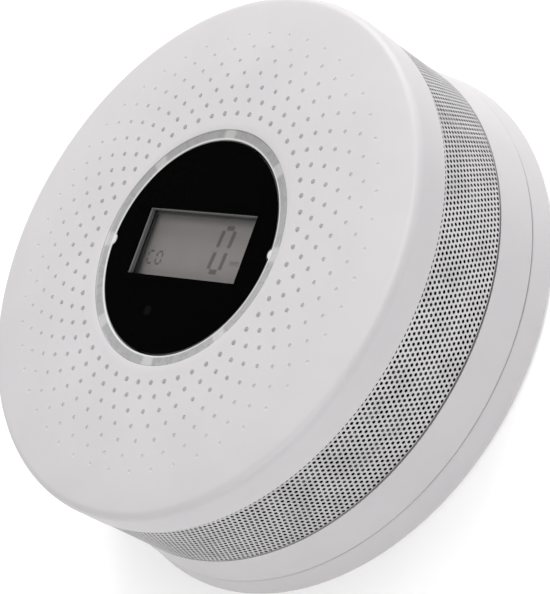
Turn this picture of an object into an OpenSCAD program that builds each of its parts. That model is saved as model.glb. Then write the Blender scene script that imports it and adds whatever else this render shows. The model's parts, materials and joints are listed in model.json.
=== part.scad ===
// Carbon monoxide alarm: round, surface mounted, with a display under a push-button window and a
// perforated steel vent band round its side.
// Origin: centre of the mounting plate's back face. +Z points out through the front face, +Y to the
// top of the display and +X to its right.

/* [Case] */
// Height from the wall to the front face
case_h = 42.4; // [42:0.1:44]
// Radius of the front cover
cover_r = 57.75; // [57.5:0.25:59]
// Wall thickness of the mouldings, and the radius of the cover's outer edge
wall = 2; // [1.8:0.1:2.2]
// Radius of the flat middle of the front face
flat_r = 34.65; // [32:0.05:38]
// Radius of the arc that the front face falls away on
dome_r = 139; // [120:1:160]

/* [Vent band] */
// Height of the band's lower edge
vent_low = 14.7; // [14.4:0.1:15.2]
// Height of the cover's lower rim, where the band ends
vent_high = 32.7; // [31.7:0.1:33]
// Thickness of the perforated sheet
sheet_t = 0.4; // [0.3:0.05:0.5]
// Number of ribs in the cage behind the band
cage_ribs = 36; // [24:1:48]

/* [Mounting plate] */
// Largest radius of the plate, at its foot
plate_r = 60; // [59.8:0.1:62]
// Height of the plate's rim, where the head starts
rim_h = 5.4; // [5.2:0.1:5.6]
// Thickness of the plate's floor
floor_t = 2.2; // [1.8:0.1:2.4]
// Distance between the two wall screws of each pair
screw_spacing = 70; // [60:1:76]
// Width of a screw slot
slot_w = 4.6; // [4:0.1:5]
// Length of a screw slot, end to end
slot_l = 9; // [8:0.5:10]
// Turn that frees the head from the plate, in degrees
twist = 18; // [18:0.5:22]

/* [Button and display] */
// Radius of the black window disc
lens_r = 23.5; // [23.3:0.1:23.6]
// Outer radius of the clear light ring round it
ring_r = 26; // [25.8:0.1:26.5]
// Gap all round between the window disc and the light ring
lens_gap = 0.25; // [0.2:0.05:0.3]
// Travel of the window disc as it is pressed
press = 0.7; // [0.4:0.1:0.8]
// Width of the display window
view_w = 32.6; // [30:0.1:33]
// Height of the display window
view_h = 14.7; // [13:0.1:15]

/* [Circuit board] */
// Radius of the circuit board
board_r = 50; // [49:0.5:51]
// Thickness of the circuit board
board_t = 1.6; // [1:0.1:1.6]
// Height of the board's front face
board_z = 35; // [35:0.1:35.4]

/* [Cells] */
// Radius of a cell
cell_r = 7.1; // [6.9:0.05:7.15]
// Length of a cell with its nub
cell_l = 50.5; // [49.5:0.1:50.5]

/* [Hidden] */
$fn = 96;

body_gap = 0.25;                    // gap between parts that move on each other
fit_gap = 0.1;                      // gap between parts that are only assembled
far = 200;

// Front cover
dome_z0 = case_h - dome_r;          // height of the face arc's centre
edge_x = cover_r - wall;            // radius of the edge fillet's centre, and of the inner wall
edge_z = dome_z0 + sqrt(pow(dome_r - wall, 2) - pow(edge_x - flat_r, 2));
under_z = case_h - wall;            // underside of the flat middle
arc_steps = 16;

// Rear housing and vent cage
band_r = cover_r - 0.15;            // outer radius of the perforated band
cage_r = band_r - sheet_t;
cage_in = cage_r - 3;
band_gap = 0.35;                    // dark line between the band and the housing
seam_z = rim_h + body_gap;          // lower edge of the head
shelf_z = vent_low - band_gap;      // upper edge of the rear housing
seam_r = cover_r * 1.02;            // radius of the head at the seam
seam_edge = 0.2;                    // chamfer along both sides of the seam
back_z = 7.4;                       // rear face of the head's floor
back_t = 1.8;
bite = 0.5;                         // overlap of solids that are moulded as one
spigot_r = 56.6;                    // outer radius of the skirt that enters the plate
spigot_in = 55;
spigot_z = 3;
cage_lip = 2;                       // height of the cage's rings and spigots
grooves = [[27, 12], [52, 43]];     // outer and inner radius of the grooves in the plate's back

// Bayonet
hooks = 3;
hook_r = 51;                        // inner radius of a hook's post
hook_post = 1.6;
lip_r = 54.2;                       // outer radius of a hook's lip
lip_z = 5.4;
lip_top = 6.6;
lug_in = 53;
lug_z = 3.4;
lug_top = 5.1;
lug_arc = 14;                       // angles of the lug and the lip above it
lip_arc = 15;
stop_arc = 2.5;
stop_gap = 0.8;

// Screws and bosses
boss_at = [for (a = [30, 150, 210, 330]) [49 * cos(a), 49 * sin(a)]];
boss_r = 3.5;
boss_z = 16.2;                      // joint between housing boss and cover boss
boss_out = 4.2;
screw_r = 1.2;
screw_head_r = 2.9;
screw_head_t = 2;
screw_seat = 11.4;
screw_end = 27;
post_at = [for (a = [90, 225, 315]) [43 * cos(a), 43 * sin(a)]];
post_r = 3;
post_screw_r = 1.1;
post_head_r = 2.5;
post_head_t = 1.8;
board_low = board_z - board_t;

// Parts on the board: centres, and sizes in X, Y and Z
controller_at = [2, -2];
controller_size = [10, 10, 1.5];
small_chip_at = [[34, 8], [34, -8], [-34, 6]];
small_chip_size = [5, 4, 1.6];
small_part_size = [2, 1.2, 0.6];
small_part_row = 31;                // distance of the first row from the middle
capacitor_at = [[40, -5], [40, 6]];
capacitor_r = 4;
capacitor_h = 11;
coil_at = [-42, 0];
coil_r = 4;
coil_h = 5;
crystal_at = [18, -2];
crystal_h = 3.4;
led_h = 0.7;

// Cells and their bay
cell_pitch = 14.6;
cell_y = [-18.5, -18.5 - cell_pitch];
cell_z = 16.1;
cell_nub_r = 2.75;
cell_nub = 1;
bay_x = 29.2;
bay_y0 = cell_y[1] - 7.5;
bay_y1 = cell_y[0] + 7.5;
bay_mid = (bay_y0 + bay_y1) / 2;
bay_w = bay_y1 - bay_y0;
bay_top = 23.5;
bay_t = 1.6;
door_t = 1.4;
contact_t = 0.4;
contact_w = 11;
contact_h = 12;
contact_z = 9.6;
tab_z = 20.4;
tab_w = 3;
tab_out = 2;
lead_r = 0.7;
lead_bend = 2.5;
lead_z = 28.5;
lead_run = 8;

// Window button, light ring and display
lens_t = 0.4;                       // clear film, printed on its underside
print_t = 0.1;
plate_top = case_h - lens_t - print_t;
carrier_t = 1.2;
plate_low = plate_top - carrier_t;
carrier_r = lens_r - 0.2;
carrier_wall = 1.6;
ring_in = lens_r + lens_gap;
ring_top = case_h - 0.25;
ring_low = 38.4;
flange_r = ring_r + 2.5;
flange_t = 1;
key_r = 1.2;                        // the two keys that stop the disc from turning
key_at = ring_in + 0.45;
foot_w = 2.6;
foot_z = board_z + 1;
feet = 8;
bezel_wall = 0.9;
glass_w = view_w + 2;
glass_h = view_h + 2;
bezel_w = glass_w + 2 * bezel_wall + 2 * fit_gap;
bezel_h = glass_h + 2 * bezel_wall + 2 * fit_gap;
glass_top = 38.9;
glass_t = 1.8;
bezel_top = 39.6;
strip_w = 2;
switch_y = -15;
switch_size = 6;
switch_top = 38.5;
plunger_r = 1.65;
plunger_low = 37.2;
plunger_top = 39.55;
pusher_z = plunger_top + 0.05;
spring_at = [[0, 15], [-13, -13], [13, -13]];
spring_r = 2.1;
spring_wire = 0.4;
pin_r = 1.2;
status_at = [-5.2, -14.6];
view_at = [0.5, 0.4];                // centre of the display window
view_gap = 0.4;                     // how far the bezel's opening clears the window

// Carbon monoxide cell
sensor_at = [22, 24];
sensor_r = 10;
sensor_low = 18;
sensor_top = 31;
sensor_cap_t = 1.6;
sensor_wall = 0.6;
filter_t = 2;
inlet_r = 2;
pin_circle_r = 6;
lead_pin_r = 0.5;                   // radius of the sensor's pins and the horn's leads

// Horn
horn_at = [-20, 24];
horn_r = 17.5;
horn_low = 22.4;
horn_rim = 31;
horn_wall = 1.5;
horn_lid_t = 1;
disc_z = 29.4;
disc_r = 14;
disc_t = 0.3;
ceramic_r = 10;
ceramic_t = 0.25;
horn_port_r = 3;
horn_lead_x = 4;

// ---------- helpers ----------

// Points along an arc in the profile plane, from angle a0 to a1 round (x, z).
function arc_points(x, z, r, a0, a1, steps) =
    [for (i = [0:steps]) let (a = a0 + (a1 - a0) * i / steps) [x + r * cos(a), z + r * sin(a)]];

module ring(r_out, r_in, z0, z1) {
    translate([0, 0, z0]) difference() {
        cylinder(r = r_out, h = z1 - z0);
        translate([0, 0, -1]) cylinder(r = r_in, h = z1 - z0 + 2);
    }
}

// A stretch of a ring, centred on angle mid and arc degrees long.
module ring_part(r_out, r_in, z0, z1, mid, arc) {
    rotate([0, 0, mid - arc / 2])
        rotate_extrude(angle = arc)
            translate([r_in, z0]) square([r_out - r_in, z1 - z0]);
}

module post(at, r, z0, z1) {
    translate([at[0], at[1], z0]) cylinder(r = r, h = z1 - z0);
}

// A block centred on (x, y), from z0 to z1.
module block(at, size, z0, z1) {
    translate([at[0] - size[0] / 2, at[1] - size[1] / 2, z0]) cube([size[0], size[1], z1 - z0]);
}

module slot(length, width) {
    straight = (length - width) / 2;
    for (s = [-1, 1]) translate([s * straight, 0]) circle(r = width / 2);
    square([2 * straight, width], center = true);
}

// ---------- mounting plate ----------

module plate_profile() {
    foot_r = 0.8;
    polygon(concat(
        [[0, 0]],
        arc_points(plate_r - foot_r, foot_r, foot_r, -90, 15, 6),
        [
            [seam_r + 0.05, rim_h - seam_edge], [seam_r - seam_edge, rim_h],
            [spigot_r + 0.6, rim_h], [spigot_r + 0.6, floor_t], [0, floor_t]
        ]
    ));
}

module back_groove(r_out, r_in) {
    depth = 0.8;
    spokes = 8;
    spoke_w = 4;
    difference() {
        ring(r_out, r_in, -1, depth);
        for (i = [0:spokes / 2 - 1])
            rotate([0, 0, 22.5 + i * 360 / spokes])
                block([0, 0], [2 * far, spoke_w], -2, depth + 1);
    }
}

module bayonet_hook() {
    lug_clear = twist + lug_arc / 2 + stop_gap;
    ring_part(hook_r + hook_post, hook_r, floor_t, lip_top, 0, lip_arc);
    ring_part(lip_r, hook_r + hook_post, lip_z, lip_top, 0, lip_arc);
    ring_part(lip_r, hook_r, floor_t, lug_top, -(lug_arc + stop_arc) / 2 - stop_gap, stop_arc);
    ring_part(lip_r, hook_r, floor_t, lug_top, lug_clear + stop_arc / 2, stop_arc);
}

module mounting_plate() {
    color("gainsboro") difference() {
        union() {
            rotate_extrude() plate_profile();
            for (i = [0:hooks - 1]) rotate([0, 0, 90 + i * 360 / hooks]) bayonet_hook();
        }
        for (a = [0, 90, 180, 270])
            rotate([0, 0, a])
                translate([screw_spacing / 2, 0, -1])
                    linear_extrude(floor_t + 2) slot(slot_l, slot_w);
        for (g = grooves) back_groove(g[0], g[1]);
    }
}

// ---------- rear housing and cells ----------

module housing_shell() {
    rotate_extrude() polygon([
        [0, back_z], [spigot_in, back_z], [spigot_in, spigot_z], [spigot_r, spigot_z],
        [spigot_r, seam_z], [seam_r - seam_edge, seam_z], [seam_r, seam_z + seam_edge],
        [band_r, shelf_z], [edge_x, shelf_z],
        [edge_x, back_z + back_t], [0, back_z + back_t]
    ]);
}

module bay_walls() {
    difference() {
        block([0, bay_mid], [2 * (bay_x + bay_t), bay_w + 2 * bay_t], back_z + back_t, bay_top + bay_t);
        block([0, bay_mid], [2 * bay_x, bay_w], back_z, bay_top);
    }
    for (x = [-1, 1], y = [-1, 1])
        block([x * (bay_x - 1), bay_mid + y * (bay_w / 2 - 0.75)], [2, 1.5],
              back_z + door_t, contact_z);
}

module rear_housing() {
    color("gainsboro") difference() {
        union() {
            difference() {
                housing_shell();
                block([0, bay_mid], [2 * bay_x, bay_w], back_z - 1, back_z + back_t + 1);
            }
            bay_walls();
            for (b = boss_at) post(b, boss_out, back_z + back_t - bite, boss_z);
            for (i = [0:hooks - 1])
                ring_part(spigot_in + bite, lug_in, lug_z, lug_top, 90 + i * 360 / hooks, lug_arc);
        }
        for (b = boss_at) {
            post(b, screw_r + 0.4, 0, far);
            post(b, screw_head_r + 0.3, back_z - 1, screw_seat);
        }
        for (y = cell_y)
            block([-bay_x - bay_t / 2, y], [bay_t + 1, tab_w + 0.4], tab_z - 0.1, tab_z + contact_t + 0.1);
    }
}

module battery_door() {
    catch_w = 8;
    color("gainsboro") {
        block([0, bay_mid], [2 * bay_x - 2 * fit_gap, bay_w - 2 * fit_gap], back_z, back_z + door_t);
        for (x = [-1, 1], y = [-1, 1])
            block([x * 16, bay_mid + y * (bay_w / 2 - fit_gap - 0.5)], [catch_w, 1],
                  back_z + door_t - 0.1, back_z + door_t + 0.5);
    }
}

module cells() {
    color("dimgray") for (i = [0, 1])
        translate([0, cell_y[i], cell_z]) rotate([0, i == 0 ? 90 : -90, 0])
            translate([0, 0, -cell_l / 2]) {
                cylinder(r = cell_r, h = cell_l - cell_nub);
                cylinder(r = cell_nub_r, h = cell_l);
            }
}

// One coil touches each cell's flat end; it sits between the cell and the contact plate.
module cell_springs() {
    coil_l = bay_x - contact_t - cell_l / 2;
    color("silver") for (i = [0, 1])
        translate([0, cell_y[i], cell_z]) rotate([0, i == 0 ? -90 : 90, 0])
            translate([0, 0, cell_l / 2]) difference() {
                cylinder(r1 = 3, r2 = 4.4, h = coil_l);
                translate([0, 0, -0.1]) cylinder(r1 = 2.2, r2 = 3.6, h = coil_l + 0.2);
            }
}

// At -X each cell has its own contact with a tab for its lead; at +X one plate joins both cells.
module cell_contacts() {
    color("silver") {
        for (i = [0, 1]) {
            block([-bay_x + contact_t / 2, cell_y[i]], [contact_t, contact_w],
                  contact_z, contact_z + contact_h);
            block([-bay_x - bay_t / 2 - tab_out / 2 + contact_t / 2, cell_y[i]],
                  [bay_t + tab_out + contact_t, tab_w], tab_z, tab_z + contact_t);
        }
        block([bay_x - contact_t / 2, bay_mid], [contact_t, cell_pitch + contact_w],
              contact_z, contact_z + contact_h);
    }
}

// A quarter bend in the XZ plane that starts upwards and ends towards +X.
module lead_elbow() {
    rotate([90, 0, 0]) translate([lead_bend, 0, 0]) rotate([0, 0, 90])
        rotate_extrude(angle = 90) translate([lead_bend, 0]) circle(r = lead_r);
}

module battery_lead(y) {
    x0 = -bay_x - bay_t - tab_out + lead_r;
    straight_z = lead_z - lead_bend;
    translate([x0, y, tab_z + contact_t]) cylinder(r = lead_r, h = straight_z - tab_z - contact_t);
    translate([x0, y, straight_z]) lead_elbow();
    translate([x0 + lead_bend, y, lead_z]) rotate([0, 90, 0]) cylinder(r = lead_r, h = lead_run);
    translate([x0 + 2 * lead_bend + lead_run, y, lead_z + lead_bend])
        rotate([0, 180, 0]) lead_elbow();
    translate([x0 + 2 * lead_bend + lead_run, y, lead_z + lead_bend])
        cylinder(r = lead_r, h = board_low - lead_z - lead_bend);
}

module battery_leads() {
    color("firebrick") battery_lead(cell_y[0]);
    color("dimgray") battery_lead(cell_y[1]);
}

// ---------- vent band ----------

module vent_cage() {
    rib_w = 1.6;
    mid_z = (shelf_z + vent_high) / 2;
    color("black") {
        ring(cage_r, cage_in, shelf_z, shelf_z + cage_lip);
        ring(edge_x - fit_gap, cage_in, shelf_z - cage_lip, shelf_z);
        ring(cage_r, cage_in, vent_high - cage_lip, vent_high);
        ring(edge_x - fit_gap, cage_in, vent_high, vent_high + cage_lip);
        ring(cage_in + 1.5, cage_in, mid_z - 1, mid_z + 1);
        for (i = [0:cage_ribs - 1])
            rotate([0, 0, i * 360 / cage_ribs])
                block([(cage_r + cage_in) / 2 - 0.1, 0], [cage_r - cage_in - 0.4, rib_w],
                      shelf_z + 1, vent_high - 1);
    }
}

module mesh_band() {
    color("lightgray") ring(band_r, cage_r, vent_low, vent_high);
}

// ---------- front cover ----------

module cover_profile() {
    edge_a = 90 - asin((edge_x - flat_r) / (dome_r - wall));
    polygon(concat(
        [[ring_r + fit_gap / 2, case_h]],
        arc_points(flat_r, dome_z0, dome_r, 90, edge_a, arc_steps),
        arc_points(edge_x, edge_z, wall, edge_a * (1 - 1 / arc_steps), 0, arc_steps),
        [[cover_r, vent_high], [edge_x, vent_high]],
        arc_points(flat_r, dome_z0, dome_r - wall, edge_a, 90, arc_steps),
        [[ring_r + fit_gap / 2, under_z]]
    ));
}

module front_cover() {
    boss_top = under_z - 0.1;
    color("whitesmoke") difference() {
        union() {
            rotate_extrude() cover_profile();
            for (b = boss_at) post(b, boss_r, boss_z, boss_top);
            for (p = post_at) post(p, post_r, board_z, boss_top + 0.3);
        }
        for (b = boss_at) post(b, screw_r + 0.05, boss_z - 1, screw_end + 2);
        for (p = post_at) post(p, post_screw_r + 0.05, board_z - 1, board_z + 4.4);
    }
}

module case_screws() {
    color("silver") for (b = boss_at) {
        post(b, screw_head_r, screw_seat - screw_head_t, screw_seat);
        post(b, screw_r, screw_seat, screw_end);
    }
}

// ---------- light ring ----------

module light_ring() {
    color("lightgray") {
        ring(ring_r, ring_in, ring_low, ring_top);
        ring(flange_r, ring_r - bite, under_z - flange_t, under_z);
        for (s = [-1, 1])
            intersection() {
                post([s * key_at, 0], key_r, ring_low, ring_top);
                ring(ring_r - 0.2, 0.1, ring_low, ring_top);
            }
        for (i = [0:feet - 1])
            rotate([0, 0, i * 360 / feet])
                block([(ring_r + ring_in) / 2, 0], [ring_r - ring_in - 0.5, foot_w],
                      foot_z, ring_low + bite);
    }
}

// ---------- circuit board ----------

module circuit_board() {
    color("darkgreen") difference() {
        translate([0, 0, board_low]) cylinder(r = board_r, h = board_t);
        for (b = boss_at) post(b, boss_r + 0.6, board_low - 1, board_z + 1);
        for (p = post_at) post(p, post_screw_r + 0.2, board_low - 1, board_z + 1);
    }
}

module board_screws() {
    color("silver") for (p = post_at) {
        post(p, post_head_r, board_low - post_head_t, board_low);
        post(p, post_screw_r, board_low, board_z + 4);
    }
}

module ring_leds() {
    color("lightyellow") for (i = [0:feet - 1])
        rotate([0, 0, i * 360 / feet])
            block([(ring_r + ring_in) / 2, 0], [1.6, 2.4], board_z, board_z + led_h);
}

module status_led() {
    color("lightgreen") block(status_at, [1.6, 0.8], board_z, board_z + led_h);
}

// A chip with legs along its two long sides; face is 1 above the board and -1 below it.
module chip(at, size, legs, leg_pitch, face) {
    z0 = face > 0 ? board_z : board_low - size[2];
    pad = face > 0 ? board_z : board_low - 0.3;
    block(at, size, z0 + (face > 0 ? 0.1 : 0), z0 + size[2] - (face > 0 ? 0 : 0.1));
    for (s = [-1, 1], i = [0:legs - 1])
        block([at[0] + (i - (legs - 1) / 2) * leg_pitch, at[1] + s * (size[1] / 2 + 0.3)],
              [leg_pitch * 0.4, 1], pad, pad + 0.3);
}

module controller_chip() {
    color("dimgray") {
        for (a = [0, 90])
            translate([controller_at[0], controller_at[1], 0]) rotate([0, 0, a])
                chip([0, 0], controller_size, 11, 0.8, -1);
    }
}

module small_chips() {
    color("dimgray") for (at = small_chip_at) chip(at, small_chip_size, 4, 1.27, 1);
}

// Small resistors and capacitors in rows on the front of the board, above and below the display.
module board_parts() {
    color("tan") for (side = [-1, 1], row = [0:2], i = [0:4])
        block([(i - 2) * 3.2, side * (small_part_row + 3 * row)], small_part_size, board_z,
              board_z + small_part_size[2]);
}

module capacitors() {
    color("midnightblue") for (at = capacitor_at)
        post(at, capacitor_r, board_low - capacitor_h, board_low);
}

module boost_coil() {
    color("dimgray") post(coil_at, coil_r, board_low - coil_h, board_low);
}

module crystal() {
    color("silver") translate([crystal_at[0], crystal_at[1], board_low - crystal_h])
        linear_extrude(crystal_h) slot(11, 4.6);
}

// ---------- display ----------

module display_bezel() {
    color("black") difference() {
        block([0, 0], [bezel_w, bezel_h], board_z, bezel_top);
        block([0, 0], [glass_w + 2 * fit_gap, glass_h + 2 * fit_gap], board_z - 1, glass_top);
        block([0, 0], [view_w + 2 * view_gap, view_h + 2 * view_gap], board_z, bezel_top + 1);
    }
}

module display_glass() {
    color("darkgray") block([0, 0], [glass_w, glass_h], glass_top - glass_t, glass_top);
}

module display_reflector() {
    color("gainsboro")
        block([0, 0], [glass_w - 2, glass_h - 2 * strip_w - 1.4], glass_top - glass_t - 0.3,
              glass_top - glass_t);
}

module display_strips() {
    color("dimgray") for (s = [-1, 1])
        block([0, s * (glass_h / 2 - strip_w / 2 - 0.2)], [glass_w - 4, strip_w], board_z,
              glass_top - glass_t);
}

// ---------- test button ----------

// The outline shared by the window disc's layers: a circle with a notch for each key.
module notched_disc(r, z0, z1, play) {
    difference() {
        translate([0, 0, z0]) cylinder(r = r, h = z1 - z0);
        for (s = [-1, 1]) post([s * key_at, 0], key_r + play, z0 - 1, z1 + 1);
    }
}

module window_lens() {
    color("darkslategray") notched_disc(lens_r, case_h - lens_t, case_h, lens_gap);
}

module window_print() {
    color("black") difference() {
        notched_disc(lens_r - 0.1, plate_top, plate_top + print_t, lens_gap + 0.1);
        block(view_at, [view_w, view_h], plate_top - 1, case_h);
        post(status_at, 0.75, plate_top - 1, case_h);
    }
}

// A latch leg that reaches under the light ring and keeps the button in.
module carrier_latch() {
    latch_low = ring_low - 1.2;
    latch_arc = 12;
    leg_in = carrier_r - carrier_wall + 0.1;
    ring_part(carrier_r - 0.1, leg_in, latch_low, ring_low + 0.6, 0, latch_arc);
    ring_part(carrier_r + 1.1, leg_in + 0.2, latch_low, ring_low - 0.3, 0, latch_arc - 1);
}

module button_carrier() {
    color("dimgray") difference() {
        union() {
            post([0, 0], carrier_r, plate_low, plate_top);
            ring(carrier_r, carrier_r - carrier_wall, ring_low, plate_low + bite);
            for (i = [0:3]) rotate([0, 0, 22.5 + 90 * i]) carrier_latch();
            for (s = spring_at) post(s, pin_r, plunger_low + 0.4, plate_low + bite);
            post([0, switch_y], plunger_r, pusher_z, plate_low + bite);
        }
        for (s = [-1, 1]) post([s * key_at, 0], key_r + lens_gap + 0.2, ring_low - 2, case_h);
        block(view_at, [view_w, view_h], plate_low - 1, plate_top + 1);
        post(status_at, 0.9, plate_low - 1, plate_top + 1);
    }
}

module button_springs() {
    color("silver") for (s = spring_at) difference() {
        post(s, spring_r, board_z, plate_low);
        post(s, spring_r - spring_wire, board_z - 1, plate_low + 1);
    }
}

module switch_body() {
    bore_r = plunger_r + 0.08;
    color("black") difference() {
        block([0, switch_y], [switch_size, switch_size], board_z, switch_top);
        post([0, switch_y], bore_r, plunger_low - press - 0.2, far);
    }
}

module switch_plunger() {
    color("saddlebrown") post([0, switch_y], plunger_r, plunger_low, plunger_top);
}

// ---------- carbon monoxide cell ----------

module sensor_can() {
    color("silver") difference() {
        post(sensor_at, sensor_r, sensor_low, sensor_top);
        post(sensor_at, sensor_r - sensor_wall, sensor_low - 1, sensor_low + filter_t);
    }
}

module sensor_filter() {
    color("dimgray") post(sensor_at, sensor_r - sensor_wall - fit_gap, sensor_low, sensor_low + filter_t);
}

module sensor_cap() {
    color("silver") difference() {
        post(sensor_at, sensor_r + 0.4, sensor_low - sensor_cap_t, sensor_low);
        post(sensor_at, inlet_r, sensor_low - sensor_cap_t - 1, sensor_low + 1);
    }
}

module sensor_pins() {
    color("gold") for (a = [90, 210, 330])
        post(sensor_at + pin_circle_r * [cos(a), sin(a)], lead_pin_r, sensor_top, board_low);
}

// ---------- horn ----------

module horn_cup() {
    ledge = 1.5;
    color("whitesmoke") difference() {
        post(horn_at, horn_r, horn_low, horn_rim);
        post(horn_at, disc_r - ledge, horn_low + horn_wall, horn_rim + 1);
        post(horn_at, disc_r + fit_gap, disc_z, horn_rim + 1);
        post(horn_at, horn_port_r, horn_low - 1, horn_low + horn_wall + 1);
    }
}

module horn_disc() {
    color("goldenrod") post(horn_at, disc_r, disc_z, disc_z + disc_t);
}

module horn_ceramic() {
    color("whitesmoke") post(horn_at, ceramic_r, disc_z + disc_t, disc_z + disc_t + ceramic_t);
}

module horn_lid() {
    color("whitesmoke") difference() {
        union() {
            post(horn_at, horn_r, horn_rim, horn_rim + horn_lid_t);
            for (a = [45, 135, 225, 315])
                post(horn_at + (horn_r - 3) * [cos(a), sin(a)], 2, horn_rim, board_low);
        }
        for (s = [-1, 1])
            post(horn_at + [s * horn_lead_x, 0], 2 * lead_pin_r, horn_rim - 1, horn_rim + horn_lid_t + 1);
    }
}

module horn_leads() {
    foot = disc_z + disc_t + ceramic_t;
    color("firebrick") post(horn_at - [horn_lead_x, 0], lead_pin_r, foot, board_low);
    color("dimgray") post(horn_at + [horn_lead_x, 0], lead_pin_r, foot, board_low);
}

mounting_plate();
rear_housing();
battery_door();
cells();
cell_springs();
cell_contacts();
battery_leads();
vent_cage();
mesh_band();
front_cover();
case_screws();
board_screws();
light_ring();
circuit_board();
ring_leds();
status_led();
controller_chip();
small_chips();
board_parts();
capacitors();
boost_coil();
crystal();
display_bezel();
display_glass();
display_reflector();
display_strips();
sensor_can();
sensor_cap();
sensor_filter();
sensor_pins();
horn_cup();
horn_lid();
horn_disc();
horn_ceramic();
horn_leads();
switch_body();
button_springs();
window_lens();
window_print();
button_carrier();
switch_plunger();
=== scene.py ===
"""Carbon monoxide alarm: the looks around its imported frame.

The frame's origin is the centre of the mounting plate's back face, with +Z out through the front
face.
"""

import json
import math

import bmesh
import bpy
import numpy as np
from mathutils import Matrix, Vector


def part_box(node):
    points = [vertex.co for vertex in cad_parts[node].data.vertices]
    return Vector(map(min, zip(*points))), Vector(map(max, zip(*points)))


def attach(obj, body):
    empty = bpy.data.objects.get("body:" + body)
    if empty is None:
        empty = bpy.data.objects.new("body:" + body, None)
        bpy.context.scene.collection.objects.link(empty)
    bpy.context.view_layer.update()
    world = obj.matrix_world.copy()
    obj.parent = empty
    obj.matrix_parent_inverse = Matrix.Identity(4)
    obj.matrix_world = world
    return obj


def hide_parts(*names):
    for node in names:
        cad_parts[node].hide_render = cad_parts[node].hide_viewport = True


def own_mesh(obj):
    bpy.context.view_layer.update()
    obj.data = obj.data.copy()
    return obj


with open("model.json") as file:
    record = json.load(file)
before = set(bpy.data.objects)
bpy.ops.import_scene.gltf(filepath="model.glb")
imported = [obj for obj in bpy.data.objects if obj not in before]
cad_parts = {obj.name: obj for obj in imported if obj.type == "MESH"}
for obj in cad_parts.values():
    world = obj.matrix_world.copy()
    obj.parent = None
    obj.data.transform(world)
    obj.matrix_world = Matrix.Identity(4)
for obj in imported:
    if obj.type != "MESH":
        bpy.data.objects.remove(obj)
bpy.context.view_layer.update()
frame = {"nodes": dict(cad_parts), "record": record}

MM = 0.001

# Sizes that the frame gives
COVER_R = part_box("front_cover")[1].x
FACE_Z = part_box("front_cover")[1].z
BAND_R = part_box("mesh_band")[1].x
BAND_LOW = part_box("mesh_band")[0].z
BAND_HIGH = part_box("mesh_band")[1].z
FLANGE_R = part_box("light_ring")[1].x
RING_FOOT_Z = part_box("light_ring")[0].z
RING_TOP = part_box("light_ring")[1].z
LENS_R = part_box("window_lens")[1].y
PRINT_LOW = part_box("window_print")[0].z
PRINT_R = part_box("window_print")[1].y
GLASS_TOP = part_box("display_glass")[1].z
BOARD_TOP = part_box("circuit_board")[1].z

# Sizes of the mouldings, as the frame has them
WALL = 2 * MM
FLAT_R = 34.65 * MM  # radius of the flat middle of the face
DOME_R = 139 * MM  # radius of the arc that the face falls away on
HOLE_R = 26.05 * MM  # hole in the cover for the light ring
RING_R = 26 * MM
RING_IN = 23.75 * MM
RING_LOW = 38.4 * MM
KEY_X = 24.2 * MM
KEY_R = 1.2 * MM
FOOT_ACROSS = 1.8 * MM  # a light guide foot, across the ring
FOOT_ALONG = 2.6 * MM
BOSS_AT_R = 49 * MM  # of the case screws
BOSS_FOOT_Z = 16.2 * MM
POST_AT_R = 43 * MM  # of the board screws
CELL_END_X = 25.25 * MM
CELL_Z = 16.1 * MM

# The seam between plate and base: each shell's face in the frame, and where it is shown
SEAM_FACES = {
    "mounting_plate": (5.4 * MM, 5.51 * MM),
    "rear_housing": (5.65 * MM, 5.54 * MM),
}

# Dimples in the face: rings of equal count, every other ring turned half a pitch
DIMPLE_RINGS = 7
DIMPLES_ROUND = 50
DIMPLE_RING_0 = 29.69 * MM
DIMPLE_RISE = 3.083 * MM
DIMPLE_EDGE = 0.65  # share of a rise from the first or last ring's centres to the lattice's edge

# Display window in the black print, and the smoky spot over the status light
VIEW_AT = Vector((0.5 * MM, 0.4 * MM))
VIEW_SIZE = Vector((32.6 * MM, 14.7 * MM))
STATUS_AT = Vector((-5.2 * MM, -14.6 * MM))
STATUS_R = 0.75 * MM

# The vent band's sheet, thinner than the frame's, and its holes; the highest row is half under
# the cover's rim
VENT_COLUMNS = 306
VENT_ROWS = 17
VENT_HOLE_R = 0.375 * MM
SHEET_T = 0.08 * MM
VENT_RISE = 1.085 * MM
VENT_MARGIN = 0.69 * MM  # from the band's lower edge to the centre of the lowest row
VENT_LIFT = 0.2 * MM  # from the frame's lower edge up to the shown one
VENT_TURN = math.radians(0.49)
VENT_PARTS = 3


# ---------- mesh tools ----------


def deselect():
    if bpy.context.object and bpy.context.object.mode == "EDIT":
        bpy.ops.object.mode_set(mode="OBJECT")
    bpy.ops.object.select_all(action="DESELECT")


def named(name):
    """Names the object that an operator has just added."""
    piece = bpy.context.object
    piece.name = name
    piece.data.name = name
    return piece


def use(piece):
    """Makes a piece the only selected and active object."""
    deselect()
    piece.select_set(True)
    bpy.context.view_layer.objects.active = piece
    return piece


def edit(piece):
    use(piece)
    bpy.ops.object.mode_set(mode="EDIT")
    bpy.ops.mesh.select_mode(type="VERT")
    bpy.ops.mesh.select_all(action="DESELECT")


def done():
    bpy.ops.object.mode_set(mode="OBJECT")


def pick(piece, test):
    """In edit mode, selects the vertices whose place passes a test."""
    bpy.ops.mesh.select_mode(type="VERT")
    bpy.ops.mesh.select_all(action="DESELECT")
    mesh = bmesh.from_edit_mesh(piece.data)
    for v in mesh.verts:
        v.select = test(v.co)
    mesh.select_flush_mode()
    bmesh.update_edit_mesh(piece.data)


def pick_all():
    bpy.ops.mesh.select_all(action="SELECT")


def grow_loop(radius, z, old_radius, old_z):
    """Extrudes the selected round loop to a new radius and height."""
    bpy.ops.mesh.extrude_edges_move(TRANSFORM_OT_translate={"value": (0, 0, z - old_z)})
    k = radius / old_radius
    bpy.ops.transform.resize(value=(k, k, 1), center_override=(0, 0, 0))


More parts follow.
